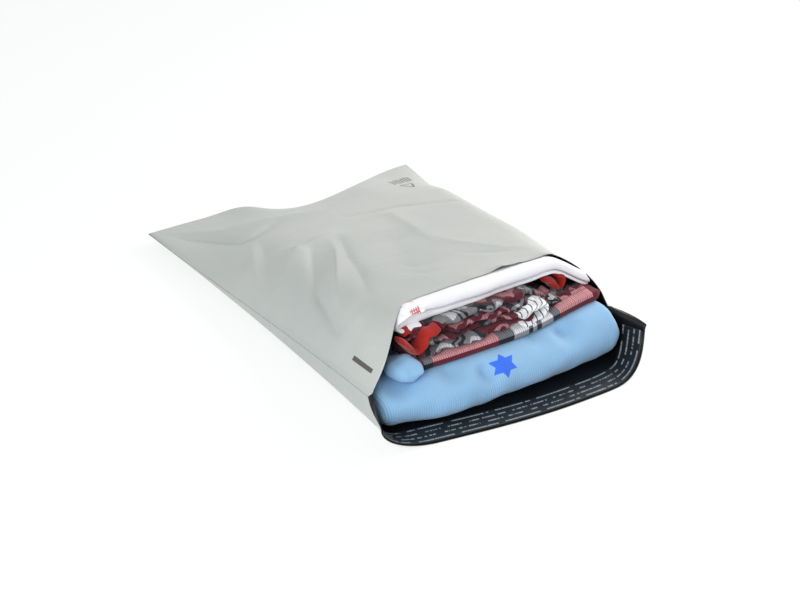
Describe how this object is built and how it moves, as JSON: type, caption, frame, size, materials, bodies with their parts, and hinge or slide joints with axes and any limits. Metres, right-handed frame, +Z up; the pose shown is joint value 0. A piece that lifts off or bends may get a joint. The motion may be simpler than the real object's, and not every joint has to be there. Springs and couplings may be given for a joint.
{
  "type": "packed poly mailer",
  "caption": "Open film mailing bag with a welded body, a turned-out lip with an adhesive strip under its release liner, and folded garments packed inside.",
  "frame": {"origin": "centre of the bounding box's footprint, on the bench the bag lies on", "axes": "+X across the bag to the right seen from the mouth, +Y from the mouth to the closed end, +Z up out of the bench"},
  "size_m": [0.3684, 0.5503, 0.1132],
  "materials": {
    "grey_film": "satin",
    "hot_melt": "tacky, clear to cream",
    "printed_liner": "satin, printed",
    "blue_knit": "ribbed knit",
    "plaid_flannel": "brushed, woven check",
    "white_jersey": "fine jersey"
  },
  "bodies": {
    "root": {"mailer_film": "grey_film", "adhesive_strip": "hot_melt", "release_liner": "printed_liner", "blue_shirt": "blue_knit", "plaid_shirt": "plaid_flannel", "white_tshirt": "white_jersey"}
  },
  "joints": []
}
